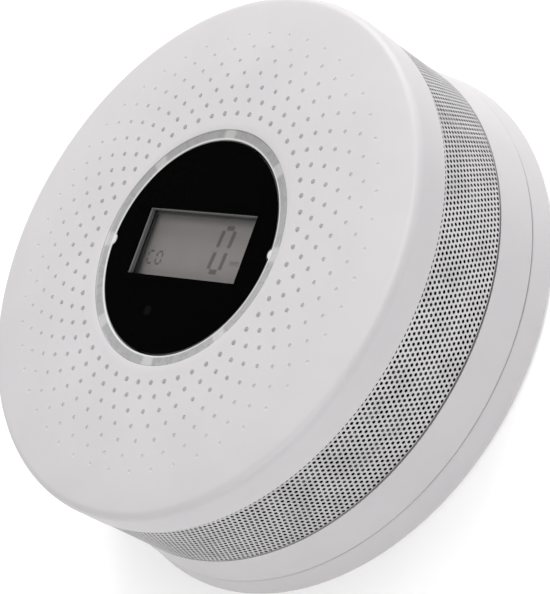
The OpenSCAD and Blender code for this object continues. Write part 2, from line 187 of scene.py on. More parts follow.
def turned(name, profile, steps=200, close=True):
    """A turned piece: a circle that is extruded through the profile's (radius, height) points."""
    deselect()
    radius, z = profile[0]
    bpy.ops.mesh.primitive_circle_add(vertices=steps, radius=radius, location=(0, 0, z))
    piece = named(name)
    settle(piece)
    edit(piece)
    pick_all()
    for new_radius, new_z in profile[1:] + (profile[:1] if close else []):
        grow_loop(new_radius, new_z, radius, z)
        radius, z = new_radius, new_z
    merge(1e-7)
    face_outwards()
    done()
    return piece


def disc_ends(name, profile, steps):
    """A turned piece that is solid at its axis: both end loops are filled."""
    piece = turned(name, profile, steps, close=False)
    edit(piece)
    for radius, z in (profile[0], profile[-1]):
        pick(piece, lambda co, z=z, r=radius: abs(co.z - z) < 1e-7 and abs(co.xy.length - r) < 1e-6)
        bpy.ops.mesh.edge_face_add()
    pick_all()
    face_outwards()
    done()
    return piece


def merge(distance):
    pick_all()
    bpy.ops.mesh.remove_doubles(threshold=distance)


def face_outwards():
    pick_all()
    bpy.ops.mesh.normals_make_consistent(inside=False)


def settle(piece):
    """Puts a piece's place and size into its mesh, so that its object sits at the origin."""
    use(piece)
    bpy.ops.object.transform_apply(location=True, rotation=True, scale=True)
    return piece


def smooth(piece, angle):
    use(piece)
    bpy.ops.object.shade_smooth_by_angle(angle=math.radians(angle))


def modify(piece, kind, **settings):
    """Adds a modifier, sets it and applies it."""
    use(piece)
    modifier = piece.modifiers.new(kind.lower(), kind)
    for name, value in settings.items():
        setattr(modifier, name, value)
    bpy.ops.object.modifier_apply(modifier=modifier.name)
    return piece


def join(name, pieces):
    """Joins pieces into one object."""
    deselect()
    for piece in pieces:
        piece.select_set(True)
    bpy.context.view_layer.objects.active = pieces[0]
    bpy.ops.object.join()
    return named(name)


def block(name, low, high, bevel=0.0):
    """A block between two corners, with its edges rounded."""
    deselect()
    centre = (Vector(low) + Vector(high)) / 2
    bpy.ops.mesh.primitive_cube_add(size=1, location=centre)
    piece = named(name)
    piece.scale = Vector(high) - Vector(low)
    settle(piece)
    if bevel:
        modify(piece, "BEVEL", width=bevel, segments=2, limit_method="ANGLE")
    return piece


def tubes(name, at_r, degrees, r_out, r_in, low, high):
    """Tubes round the axis, each open from its low end to just under its high end."""
    pieces = []
    for a in (math.radians(d) for d in degrees):
        profile = [(r_in, high - WALL), (r_in, low), (r_out, low), (r_out, high)]
        piece = disc_ends(name, profile, 48)
        piece.location = (at_r * math.cos(a), at_r * math.sin(a), 0)
        pieces.append(settle(piece))
    return pieces


def copied(piece, name):
    """A copy with its own mesh."""
    use(piece)
    bpy.ops.object.duplicate(linked=False)
    return named(name)


def cut(piece, tool):
    """Cuts a piece with a tool and removes the tool."""
    modify(piece, "BOOLEAN", operation="DIFFERENCE", object=tool, solver="EXACT")
    bpy.data.objects.remove(tool)


def reshape(piece, rule):
    """Moves every vertex by a rule that takes and gives arrays of x, y and z."""
    count = len(piece.data.vertices)
    co = np.empty(count * 3)
    piece.data.vertices.foreach_get("co", co)
    x, y, z = co.reshape(-1, 3).T
    moved = np.stack(rule(x, y, z), axis=1)
    piece.data.vertices.foreach_set("co", moved.ravel())
    piece.data.update()
    return piece


def cad_copy(node, name):
    """A copy of a frame node's mesh, merged into one skin, with its sharp edges marked."""
    source = frame["nodes"][node]
    piece = bpy.data.objects.new(name, source.data.copy())
    bpy.context.scene.collection.objects.link(piece)
    edit(piece)
    merge(1e-6)
    done()
    smooth(piece, 30)
    return piece


def comb_cell(name, pitch, rise, loops, corner_share):
    """One cell of a staggered lattice of round holes, lying flat.

    loops are (half width, half height, z) of the hole's rings, from the outermost inwards. The
    border has six corners and the six middles between them, so that cells of every row meet.
    """
    deselect()
    bpy.ops.mesh.primitive_circle_add(vertices=12, radius=1)
    cell = named(name)
    low, high = (0.5 - corner_share) * rise, (0.5 + corner_share) * rise
    quarter = [
        (pitch / 2, 0),
        (pitch / 2, low),
        (pitch / 4, (low + high) / 2),
        (0, high),
    ]
    edit(cell)
    pick_all()
    for _ in loops:
        bpy.ops.mesh.extrude_edges_move()
    done()
    turn = [math.radians(30 * i) for i in range(12)]
    rings = [border_points(quarter)] + [
        [(w * math.cos(a), h * math.sin(a), z) for a in turn] for w, h, z in loops
    ]
    start = [round(math.degrees(math.atan2(v.co.y, v.co.x)) / 30) % 12 for v in cell.data.vertices]
    for i, v in enumerate(cell.data.vertices):
        v.co = rings[i // 12][start[i]]
    return cell


def border_points(quarter):
    """A cell's twelve border points, anticlockwise from +X, from those of its first quarter."""
    back = [(-x, y) for x, y in reversed(quarter[:-1])]
    upper = quarter + back
    lower = [(x, -y) for x, y in reversed(upper[1:-1])]
    return [(x, y, 0) for x, y in upper + lower]


def repeated(piece, count, step, near=2e-5):
    """Repeats a piece in a row and merges the copies where they come near each other."""
    return modify(
        piece,
        "ARRAY",
        count=count,
        use_relative_offset=False,
        use_constant_offset=True,
        constant_offset_displace=step,
        use_merge_vertices=True,
        merge_threshold=near,
    )


# ---------- materials ----------


class Value:
    """A shader value. Python's operators on it add Math nodes."""

    def __init__(self, finish, socket):
        self.finish = finish
        self.socket = socket

    def math(self, operation, *others):
        return self.finish.add("ShaderNodeMath", {"operation": operation}, (self, *others))

    def __add__(self, other):
        return self.math("ADD", other)

    def __sub__(self, other):
        return self.math("SUBTRACT", other)

    def __mul__(self, other):
        return self.math("MULTIPLY", other)

    def __truediv__(self, other):
        return self.math("DIVIDE", other)

    def __pow__(self, other):
        return self.math("POWER", other)

    def __radd__(self, other):
        return self.math("ADD", other)

    def __rmul__(self, other):
        return self.math("MULTIPLY", other)

    def __rsub__(self, other):
        return self.finish.add("ShaderNodeMath", {"operation": "SUBTRACT"}, (other, self))

    def __rtruediv__(self, other):
        return self.finish.add("ShaderNodeMath", {"operation": "DIVIDE"}, (other, self))

    def over(self, low, high):
        """0 below low, 1 above high and smooth between."""
        settings = {"interpolation_type": "SMOOTHSTEP"}
        return self.finish.add(
            "ShaderNodeMapRange", settings, {"Value": self, "From Min": low, "From Max": high}
        )


class Finish:
    """A material: one Principled shader, the numbers set on it and the nodes that feed it."""

    def __init__(self, name, **numbers):
        self.material = bpy.data.materials.new(name)
        self.material.use_nodes = True
        self.tree = self.material.node_tree
        self.shader = self.tree.nodes["Principled BSDF"]
        for key, value in numbers.items():
            self.shader.inputs[key.replace("_", " ")].default_value = value

    def add(self, kind, settings=None, inputs=(), output=0):
        """Adds a node. Its settings come first, then its inputs, by order or by name."""
        node = self.tree.nodes.new(kind)
        for key, value in (settings or {}).items():
            setattr(node, key, value)
        pairs = inputs.items() if isinstance(inputs, dict) else enumerate(inputs)
        for key, value in pairs:
            self.feed(node.inputs[key], value)
        return Value(self, node.outputs[output])

    def feed(self, socket, value):
        if isinstance(value, Value):
            self.tree.links.new(value.socket, socket)
        else:
            socket.default_value = value

    def to(self, **inputs):
        """Feeds sockets of the Principled shader."""
        for key, value in inputs.items():
            self.feed(self.shader.inputs[key.replace("_", " ")], value)
        return self

    def place(self):
        """The Object coordinates."""
        return self.add("ShaderNodeTexCoord", output="Object")

    def axes(self):
        """The three Object coordinates as values."""
        node = self.tree.nodes.new("ShaderNodeSeparateXYZ")
        self.feed(node.inputs[0], self.place())
        return [Value(self, out) for out in node.outputs]

    def noise(self, size, detail):
        """Noise whose features are about size metres across."""
        inputs = {"Vector": self.place(), "Scale": 1 / size, "Detail": detail}
        return self.add("ShaderNodeTexNoise", {}, inputs)

    def colours(self, factor, first, second):
        """A colour between two, by a factor."""
        settings = {"data_type": "RGBA"}
        node = self.add("ShaderNodeMix", settings, {0: factor}, output=2)
        self.feed(node.socket.node.inputs[6], first)
        self.feed(node.socket.node.inputs[7], second)
        return node

    def bump(self, height, strength, distance):
        inputs = {"Strength": strength, "Distance": distance, "Height": height}
        return self.add("ShaderNodeBump", {}, inputs)


def rgb(red, green, blue):
    return (red, green, blue, 1)


def moulded(
    name, colour, roughness=0.45, grain=0.16 * MM, depth=0.012 * MM, variation=0.03, **numbers
):
    """Moulded plastic: a fine spark-eroded grain, with faint cloudiness in colour and sheen."""
    finish = Finish(name, **numbers)
    cloud = finish.noise(14 * MM, detail=3)
    fine = finish.noise(grain, detail=1)
    dark = tuple(c * (1 - variation) for c in colour[:3]) + (1,)
    finish.to(
        Base_Color=finish.colours(cloud.over(0.3, 0.7), dark, colour),
        Roughness=roughness - 0.04 + cloud * 0.05 + fine * 0.03,
        Normal=finish.bump(fine, 0.35, depth),
    )
    return finish.material


def metal(name, colour, roughness, stretch=(1, 1, 6)):
    """Rolled or drawn metal: fine lines along the drawing direction, and duller patches."""
    finish = Finish(name, Metallic=1.0)
    inputs = {"Vector": finish.place(), "Scale": stretch}
    lines = finish.add("ShaderNodeMapping", {"vector_type": "POINT"}, inputs)
    inputs = {"Vector": lines, "Scale": 1 / (0.35 * MM), "Detail": 2.0}
    grain = finish.add("ShaderNodeTexNoise", {}, inputs)
    patch = finish.noise(6 * MM, detail=3)
    dark = tuple(c * 0.86 for c in colour[:3]) + (1,)
    finish.to(
        Base_Color=finish.colours(patch.over(0.35, 0.75), colour, dark),
        Roughness=roughness - 0.05 + patch * 0.08 + grain * 0.05,
        Normal=finish.bump(grain, 0.15, 0.004 * MM),
    )
    return finish.material


def glossy_black(name):
    """Ink printed on the back of clear plastic: deep black, and smoky over the status light."""
    finish = Finish(name, Specular_IOR_Level=0.02)
    haze = finish.noise(5 * MM, detail=4)
    x, y, _ = finish.axes()
    aside, above = x - STATUS_AT.x, y - STATUS_AT.y
    away = (aside * aside + above * above) ** 0.5
    smoke = 1 - away.over(0.2 * MM, 2 * STATUS_R)
    black = finish.colours(haze, rgb(0.0003, 0.0003, 0.0003), rgb(0.0007, 0.0007, 0.0007))
    finish.to(
        Base_Color=finish.colours(smoke, black, rgb(0.006, 0.006, 0.006)),
        Roughness=0.06 + haze * 0.03,
    )
    return finish.material


def clear_film(name):
    """Clear film that shows only its gloss."""
    finish = Finish(name, Specular_IOR_Level=0.5)
    haze = finish.noise(4 * MM, detail=3)
    finish.to(
        Base_Color=finish.colours(haze, rgb(0.0005, 0.0005, 0.0005), rgb(0.001, 0.001, 0.001)),
        Roughness=0.04 + haze * 0.02,
        Alpha=0.006 + haze * 0.004,
    )
    return finish.material


def light_guide(name):
    """Frosted clear plastic: grey as painted shade from the hollow beneath, paler over its eight
    feet as painted light coming through them, with a painted highlight along its inner edge.
    """
    finish = Finish(name, Specular_IOR_Level=0.5, Coat_Roughness=0.08)
    x, y, _ = finish.axes()
    radius = (x * x + y * y) ** 0.5
    turn = y.math("ARCTAN2", x) * (4 / math.pi)
    from_foot = (turn - turn.math("ROUND")).math("ABSOLUTE")
    # paler over the feet: painted light coming up through them
    foot = 1 - from_foot.over(0.055, 0.1)
    cloud = finish.noise(1.6 * MM, detail=3)
    # painted highlight along the inner edge, beside the black disc
    inner = 1 - radius.over(24.0 * MM, 24.35 * MM)
    # grey: painted shade of the hollow beneath the ring
    grey = finish.colours(cloud, rgb(0.31, 0.31, 0.31), rgb(0.39, 0.39, 0.39))
    with_lit_feet = finish.colours(foot, grey, rgb(0.5, 0.5, 0.495))
    finish.to(
        Base_Color=finish.colours(inner, with_lit_feet, rgb(0.72, 0.72, 0.71)),
        Roughness=0.22 + cloud * 0.12,
        Coat_Weight=0.3 + foot * 0.2,
        Normal=finish.bump(cloud, 0.12, 0.02 * MM),
    )
    return finish.material


def display_face(name):
    """The grey of an idle liquid crystal display, slightly uneven and polished, with painted shade
    towards its upper and lower edges beside the window's walls.
    """
    finish = Finish(name, Specular_IOR_Level=0.35)
    _, y, _ = finish.axes()
    cloud = finish.noise(7 * MM, detail=2)
    fine = finish.noise(0.12 * MM, detail=1)
    # darker towards the upper and lower edges: painted shade from the window's walls
    edge = (y / (8 * MM)).math("ABSOLUTE").over(0.75, 1.0)
    base = finish.colours(cloud, rgb(0.2, 0.187, 0.184), rgb(0.235, 0.219, 0.216))
    finish.to(
        Base_Color=finish.colours(edge * 0.5, base, rgb(0.185, 0.174, 0.17)),
        Roughness=0.16 + fine * 0.06,
    )
    return finish.material


def carrier_finish(name):
    """Grey moulding: its darker part is painted shade inside the window's recess, and a paler band
    just under the ink is painted light on the window's wall.
    """
    finish = Finish(name)
    _, _, z = finish.axes()
    fine = finish.noise(0.3 * MM, detail=2)
    # paler band just under the ink: painted light; darker below it: painted shade in the recess
    pale = z.over(PRINT_LOW - 0.5 * MM, PRINT_LOW - 0.3 * MM)
    finish.to(
        Base_Color=finish.colours(pale, rgb(0.16, 0.16, 0.16), rgb(0.36, 0.36, 0.36)),
        Roughness=0.5 + fine * 0.1,
        Normal=finish.bump(fine, 0.3, 0.03 * MM),
    )
    return finish.material


def board_finish(name):
    """Green solder mask with paler tracks showing through it."""
    finish = Finish(name, Specular_IOR_Level=0.5)
    x, _, _ = finish.axes()
    wave = (x / (1.27 * MM)).math("FRACT")
    wander = finish.noise(9 * MM, detail=0)
    track = ((wave - 0.5).math("ABSOLUTE").over(0.28, 0.34)) * wander.over(0.48, 0.5)
    weave = finish.noise(0.35 * MM, detail=1)
    mask = finish.colours(weave, rgb(0.012, 0.1, 0.035), rgb(0.016, 0.13, 0.045))
    finish.to(
        Base_Color=finish.colours(track, mask, rgb(0.03, 0.22, 0.07)),
        Roughness=0.28 + weave * 0.12 - track * 0.05,
        Normal=finish.bump(track, 0.4, 0.03 * MM),
    )
    return finish.material


def chip_finish(name):
    """Black moulding compound; its legs lie outside the body and are tinned."""
    finish = Finish(name)
    fine = finish.noise(0.2 * MM, detail=2)
    _, _, z = finish.axes()
    leg = 1 - (z - (BOARD_TOP - 0.8 * MM)).math("ABSOLUTE").over(1.09 * MM, 1.11 * MM)
    body = finish.colours(fine, rgb(0.015, 0.015, 0.017), rgb(0.028, 0.028, 0.03))
    finish.to(
        Base_Color=finish.colours(leg, body, rgb(0.6, 0.6, 0.58)),
        Metallic=leg * 0.9,
        Roughness=0.5 + fine * 0.12 - leg * 0.2,
        Normal=finish.bump(fine, 0.25, 0.01 * MM),
    )
    return finish.material


def cell_jacket(name):
    """A dark jacket with a coloured band near the nub and bare metal ends."""
    finish = Finish(name)
    x, y, _ = finish.axes()
    side = y.over(-25.9 * MM, -25.7 * MM) * 2 - 1
    along = x * side
    band = along.over(12 * MM, 12.2 * MM)
    end = x.math("ABSOLUTE").over(24.1 * MM, 24.2 * MM)
    scuff = finish.noise(2.5 * MM, detail=4)
    jacket = finish.colours(band, rgb(0.02, 0.022, 0.026), rgb(0.42, 0.16, 0.035))
    worn = finish.colours(scuff.over(0.66, 0.8) * 0.4, jacket, rgb(0.3, 0.3, 0.3))
    finish.to(
        Base_Color=finish.colours(end, worn, rgb(0.7, 0.7, 0.69)),
        Metallic=0.15 + end * 0.8,
        Roughness=0.3 + scuff * 0.15,
        Normal=finish.bump(scuff, 0.1, 0.02 * MM),
    )
    return finish.material


def rubber_leads(name):
    """Vinyl insulation, red on one lead and black on the other of each pair."""
    finish = Finish(name)
    x, y, _ = finish.axes()
    fine = finish.noise(0.5 * MM, detail=2)
    upper = (y + 26 * MM).over(-0.5 * MM, 0.5 * MM)
    first = upper * (1 - (x + 20 * MM).over(-0.1 * MM, 0.1 * MM))
    finish.to(
        Base_Color=finish.colours(first, rgb(0.02, 0.02, 0.022), rgb(0.42, 0.02, 0.015)),
        Roughness=0.42 + fine * 0.12,
        Normal=finish.bump(fine, 0.2, 0.02 * MM),
    )
    return finish.material


def layered_rubber(name):
    """Elastomer connector: thin black and grey layers side by side."""
    finish = Finish(name)
    x, _, _ = finish.axes()
    layer = (x / (0.2 * MM)).math("FRACT").over(0.45, 0.55)
    finish.to(
        Base_Color=finish.colours(layer, rgb(0.03, 0.03, 0.03), rgb(0.28, 0.27, 0.25)),
        Roughness=0.6 + layer * 0.1,
    )
    return finish.material


def sleeve_finish(name):
    """A capacitor's sleeve with its stripe, and a bare aluminium end."""
    finish = Finish(name)
    x, _, z = finish.axes()
    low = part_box("capacitors")[0].z
    end = 1 - (z - low).over(0.2 * MM, 0.25 * MM)
    stripe = (x - 42.6 * MM).over(0, 0.1 * MM)
    fine = finish.noise(1.5 * MM, detail=3)
    body = finish.colours(stripe, rgb(0.012, 0.02, 0.07), rgb(0.5, 0.5, 0.52))
    finish.to(
        Base_Color=finish.colours(end, body, rgb(0.75, 0.75, 0.75)),
        Metallic=end,
        Roughness=0.3 + fine * 0.1,
    )
    return finish.material


FINISHES = {
    "white_shell": moulded("white_plastic", rgb(0.628, 0.61, 0.622)),
    # The cage's plastic is made almost black and almost without gloss, so that besides black
    # moulding it is painted shade behind the vent holes and under the band.
    "black_cage": moulded(
        "black_cage_plastic_and_shade", rgb(0.004, 0.004, 0.004), 0.7, Specular_IOR_Level=0.05
    ),
    "perforated_steel": metal("vent_steel", rgb(0.56, 0.553, 0.556), 0.42, stretch=(1, 1, 0.15)),
    "clear_ring": light_guide("light_guide_plastic"),
    "lens": clear_film("clear_window"),
    "black_print": glossy_black("window_ink"),
    "carrier": carrier_finish("grey_carrier_plastic"),
    "black_plastic": moulded("black_frame_plastic", rgb(0.1, 0.1, 0.1), 0.5),
    "display_glass": display_face("display_grey"),
    "display_film": moulded("display_film", rgb(0.7, 0.7, 0.68), 0.35),
    "elastomer": layered_rubber("strip_rubber"),
    "board": board_finish("solder_mask"),
    "led": moulded("led_resin", rgb(0.75, 0.68, 0.3), 0.25),
    "chip": chip_finish("chip_compound"),
    "small_parts": moulded("part_ceramic", rgb(0.3, 0.2, 0.11), 0.4, variation=0.25),
    "capacitor": sleeve_finish("capacitor_sleeve"),
    "ferrite": moulded("ferrite", rgb(0.03, 0.03, 0.032), 0.55, variation=0.2),
    "bright_metal": metal("nickel", rgb(0.72, 0.71, 0.69), 0.22),
    "spring_steel": metal("spring_wire", rgb(0.62, 0.61, 0.6), 0.2),
    "cell_jacket": cell_jacket("cell_jacket"),
    "zinc_steel": metal("zinc", rgb(0.6, 0.62, 0.66), 0.28),
    "carbon": moulded(
        "carbon_cloth", rgb(0.015, 0.015, 0.015), 0.85, grain=0.4 * MM, depth=0.08 * MM
    ),
    "gold": metal("gold_plate", rgb(0.83, 0.6, 0.25), 0.2),
    "horn_plastic": moulded("natural_plastic", rgb(0.55, 0.53, 0.47), 0.5),
    "brass": metal("brass", rgb(0.72, 0.52, 0.22), 0.28),
    "ceramic": moulded("silvered_ceramic", rgb(0.6, 0.59, 0.56), 0.35),
    "lead_jacket": rubber_leads("lead_vinyl"),
    "brown_plastic": moulded("plunger_plastic", rgb(0.12, 0.04, 0.015), 0.4),
}
SLOT_OF = {s["node"]: s["material_slot"] for s in frame["record"]["subparts"]}
BODY_OF = {
    node: body for body, nodes in frame["record"]["behaviour"]["bodies"].items() for node in nodes
}


def dress(piece, slot):
    """Gives a piece the finish of one of the record's slots."""
    piece.data.materials.clear()
    piece.data.materials.append(FINISHES[slot])


def finish_piece(piece, node, angle=30, replace=True):
    """Shades a piece, gives it its node's finish and lets it ride on its node's body."""
    smooth(piece, angle)
    dress(piece, SLOT_OF[node])
    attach(piece, BODY_OF[node])
    if replace:
        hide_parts(node)
    return piece


# ---------- front cover ----------


def face_height(radius):
    """Height of the front face at a radius, for numbers or arrays."""
    beyond = np.maximum(np.asarray(radius) - FLAT_R, 0)
    return FACE_Z - DOME_R + np.sqrt(DOME_R**2 - beyond**2)


def dimple_ring(index):
    """One ring of dimples: a cell is shaped flat, repeated and laid round the face."""
    share = index / (DIMPLE_RINGS - 1)
    radius = DIMPLE_RING_0 + index * DIMPLE_RISE
    half = (0.6 - 0.2 * share) * MM
    depth = (0.95 - 0.77 * share) * MM
    pitch = 360 / DIMPLES_ROUND
    degrees = 1 / math.radians(radius)  # degrees of turn for each metre along the ring
    steps = [(1.35, 0), (1.0, 0), (0.93, 0.1), (0.8, 0.5), (0.6, 0.88), (0.3, 1.0)]
    loops = [(half * k * degrees, half * k, -depth * d) for k, d in steps]
    cell = comb_cell("dimple_cell", pitch, DIMPLE_RISE, loops, 0.15)
    edit(cell)
    pick(cell, lambda co: co.z < -0.95 * depth)
    bpy.ops.mesh.edge_face_add()
    done()
    repeated(cell, DIMPLES_ROUND, (pitch, 0, 0), near=2e-3)
    offset = pitch / 2 if index % 2 == 0 else 0
    border = 0.34 * DIMPLE_RISE  # beyond it, a cell's points are those of its border
    edge = DIMPLE_EDGE * DIMPLE_RISE

    def lay(x, y, z):
        if index == 0:
            y = np.where(y < -border, -edge, y)
        if index == DIMPLE_RINGS - 1:
            y = np.where(y > border, edge, y)
        turn, r = np.radians(x + offset), radius + y
        return r * np.cos(turn), r * np.sin(turn), face_height(r) + z

    return reshape(cell, lay)


def front_cover():
    cover = join("front_cover_shell", [dimple_ring(i) for i in range(DIMPLE_RINGS)])
    inner = DIMPLE_RING_0 - DIMPLE_EDGE * DIMPLE_RISE
    outer = DIMPLE_RING_0 + (DIMPLE_RINGS - 1 + DIMPLE_EDGE) * DIMPLE_RISE
    edit(cover)
    merge(5e-6)

    pick(cover, lambda co: co.xy.length < inner + 1e-5)
    radius, z = inner, FACE_Z
    lip = 0.1 * MM
    for new_radius, new_z in (
        (HOLE_R + lip, FACE_Z),
        (HOLE_R + 0.3 * lip, FACE_Z - 0.3 * lip),
        (HOLE_R, FACE_Z - lip),
        (HOLE_R, FACE_Z - WALL),
    ):
        grow_loop(new_radius, new_z, radius, z)
        radius, z = new_radius, new_z

    pick(cover, lambda co: co.xy.length > outer - 1e-5)
    radius, z = outer, float(face_height(outer))
    for new_radius, new_z in outer_profile(outer):
        grow_loop(new_radius, new_z, radius, z)
        radius, z = new_radius, new_z
    merge(2e-6)
    face_outwards()
    done()

    inside = FACE_Z - WALL
    bosses = tubes(
        "boss",
        BOSS_AT_R,
        (30, 150, 210, 330),
        r_out=3.5 * MM,
        r_in=1.25 * MM,
        low=BOSS_FOOT_Z,
        high=inside - 0.1 * MM,
    )
    posts = tubes(
        "post",
        POST_AT_R,
        (90, 225, 315),
        r_out=3 * MM,
        r_in=1.15 * MM,
        low=BOARD_TOP,
        high=inside + 0.2 * MM,
    )
    cover = join("front_cover_shell", [cover] + bosses + posts)
    finish_piece(cover, "front_cover", 40)


def outer_profile(outer):
    """The rest of the cover's outline: over the face's edge, down the side and back inside."""
    edge_r = COVER_R - WALL
    centre_z = FACE_Z - DOME_R
    edge_z = centre_z + math.sqrt((DOME_R - WALL) ** 2 - (edge_r - FLAT_R) ** 2)
    lean = math.asin((edge_r - FLAT_R) / (DOME_R - WALL))
    first = math.asin((outer - FLAT_R) / DOME_R)
    steps = 8
    dome = [first + (lean - first) * i / steps for i in range(1, steps + 1)]
    fillet = [lean + (math.pi / 2 - lean) * i / steps for i in range(1, steps + 1)]
    inside = [lean * (1 - i / steps) for i in range(steps + 1)]
    chamfer = 0.15 * MM
    points = [(FLAT_R + DOME_R * math.sin(a), centre_z + DOME_R * math.cos(a)) for a in dome]
    points += [(edge_r + WALL * math.sin(a), edge_z + WALL * math.cos(a)) for a in fillet]
    points += [
        (COVER_R, BAND_HIGH + chamfer),
        (COVER_R - chamfer, BAND_HIGH),
        (edge_r, BAND_HIGH),
    ]
    inner_r = DOME_R - WALL
    points += [(FLAT_R + inner_r * math.sin(a), centre_z + inner_r * math.cos(a)) for a in inside]
    points += [(HOLE_R, FACE_Z - WALL)]
    return points


def seam_shells():
    """The plate and the base, their seam faces nearer, as the moulded edges almost touch."""
    for node, (frame_z, shown_z) in SEAM_FACES.items():
        shell = cad_copy(node, node + "_shell")
        reshape(
            shell,
            lambda x, y, z: (x, y, np.where(np.abs(z - frame_z) < 0.02 * MM, shown_z, z)),
        )
        finish_piece(shell, node)
        modify(shell, "WEIGHTED_NORMAL", keep_sharp=True, weight=80)  # keeps flat faces even


# ---------- vent band ----------


def vent_band():
    """The perforated sheet, rolled from a flat lattice of holes, in three lengths."""
    pitch = 2 * math.pi * BAND_R / VENT_COLUMNS
    top = BAND_HIGH - BAND_LOW - VENT_MARGIN
    corner = pitch**2 / (8 * VENT_RISE) / VENT_RISE
    cell = comb_cell("vent_cell", pitch, VENT_RISE, [(VENT_HOLE_R, VENT_HOLE_R, 0)], corner)
    pair = copied(cell, "vent_cell_upper")
    reshape(pair, lambda x, y, z: (x + pitch / 2, y + VENT_RISE, z))
    sheet = join("vent_sheet", [cell, pair])
    edit(sheet)
    merge(1e-5)
    done()
    repeated(sheet, VENT_COLUMNS // VENT_PARTS, (pitch, 0, 0))
    repeated(sheet, (VENT_ROWS + 1) // 2, (0, 2 * VENT_RISE, 0))
    edit(sheet)
    pick_all()
    bpy.ops.mesh.bisect(plane_co=(0, top, 0), plane_no=(0, 1, 0), clear_outer=True)
    merge(1e-6)
    done()

    def roll(part):
        start = part * 2 * math.pi / VENT_PARTS + VENT_TURN

        def rule(x, y, _):
            y = np.where(y < -VENT_HOLE_R - 0.03 * MM, VENT_LIFT - VENT_MARGIN, y)
            turn = x / BAND_R + start
            return BAND_R * np.cos(turn), BAND_R * np.sin(turn), BAND_LOW + VENT_MARGIN + y

        return rule

    for part in range(VENT_PARTS):
        band = copied(sheet, "vent_band_%s" % "abc"[part])
        reshape(band, roll(part))
        edit(band)
        face_outwards()
        done()
        modify(band, "SOLIDIFY", thickness=SHEET_T, offset=-1, use_even_offset=False)
        finish_piece(band, "mesh_band", 35, replace=part == 0)
    bpy.data.objects.remove(sheet)


# ---------- light ring and window ----------


def light_ring():
    """The clear ring with its flange, two keys and eight feet; its outer edge stands proud."""
    lip = 0.22 * MM
    flange_top = FACE_Z - WALL
    ring = turned(
        "light_ring_clear",
        [
            (RING_R - 0.3 * MM, RING_TOP),
            (RING_R - 0.06 * MM, RING_TOP + 0.15 * MM),
            (RING_R, RING_TOP + 0.09 * MM),
            (RING_R, flange_top),
            (FLANGE_R, flange_top),
            (FLANGE_R, flange_top - 1 * MM),
            (RING_R, flange_top - 1 * MM),
            (RING_R, RING_LOW),
            (RING_IN, RING_LOW),
            (RING_IN, RING_TOP - lip),
            (RING_IN + 0.35 * lip, RING_TOP - 0.3 * lip),
            (RING_IN + lip, RING_TOP),
        ],
    )
    parts = [ring]
    for side in (-1, 1):
        key = disc_ends(
            "key",
            [
                (KEY_R, RING_LOW),
                (KEY_R, RING_TOP - 0.2 * MM),
                (KEY_R - 0.15 * MM, RING_TOP - 0.03 * MM),
            ],
            32,
        )
        key.location.x = side * KEY_X
        parts.append(settle(key))
    foot_r = (RING_R + RING_IN) / 2
    for i in range(8):
        foot = block(
            "foot",
            (foot_r - FOOT_ACROSS / 2, -FOOT_ALONG / 2, RING_FOOT_Z),
            (foot_r + FOOT_ACROSS / 2, FOOT_ALONG / 2, RING_LOW + 0.3 * MM),
            0.15 * MM,
        )
        foot.rotation_euler.z = i * math.pi / 4
        parts.append(settle(foot))
    finish_piece(join("light_ring_clear", parts), "light_ring", 40)


def key_tools(radius, low, high):
    """Two upright rods that cut the key notches."""
    rods = []
    for side in (-1, 1):
        rod = disc_ends("rod", [(radius, low), (radius, high)], 48)
        rod.location.x = side * KEY_X
        rods.append(settle(rod))
    return join("notches", rods)


def window_lens():
    """The clear film; its ink is drawn thick beneath it, as the film's cut edge looks black."""
    edge = 0.04 * MM
    film_low = FACE_Z - 0.08 * MM
    lens = disc_ends(
        "window_film",
        [(LENS_R, film_low), (LENS_R, FACE_Z - edge), (LENS_R - edge, FACE_Z)],
        240,
    )
    cut(lens, key_tools(KEY_R + 0.25 * MM, film_low - 1 * MM, FACE_Z + 1 * MM))
    finish_piece(lens, "window_lens", 35)

    ink_high = film_low - 0.02 * MM
    ink = disc_ends("window_ink", [(PRINT_R, PRINT_LOW), (PRINT_R, ink_high)], 240)
    cut(ink, key_tools(KEY_R + 0.35 * MM, PRINT_LOW - 1 * MM, FACE_Z))
    low, high = VIEW_AT - VIEW_SIZE / 2, VIEW_AT + VIEW_SIZE / 2
    cut(ink, block("view", (low.x, low.y, PRINT_LOW - 1 * MM), (high.x, high.y, FACE_Z)))
    finish_piece(ink, "window_print", 35)


def stroke(name, start, end, width, z):
    """One straight stroke of a display mark: a thin bar with pointed ends."""
    deselect()
    along = Vector(end) - Vector(start)
    bpy.ops.mesh.primitive_circle_add(vertices=6, radius=0.5, fill_type="NGON")
    bar = named(name)
    half, w = along.length / 2, width / 2
    shape = [(half, 0), (half - w, w), (w - half, w), (-half, 0), (w - half, -w), (half - w, -w)]
    turn = Matrix.Rotation(math.atan2(along.y, along.x), 2)
    centre = (Vector(start) + Vector(end)) / 2
    for v in bar.data.vertices:
        i = round(math.degrees(math.atan2(v.co.y, v.co.x)) / 60) % 6
        x, y = turn @ Vector(shape[i]) + centre
        v.co = (x, y, z)
    return modify(bar, "SOLIDIFY", thickness=0.02 * MM, offset=0)


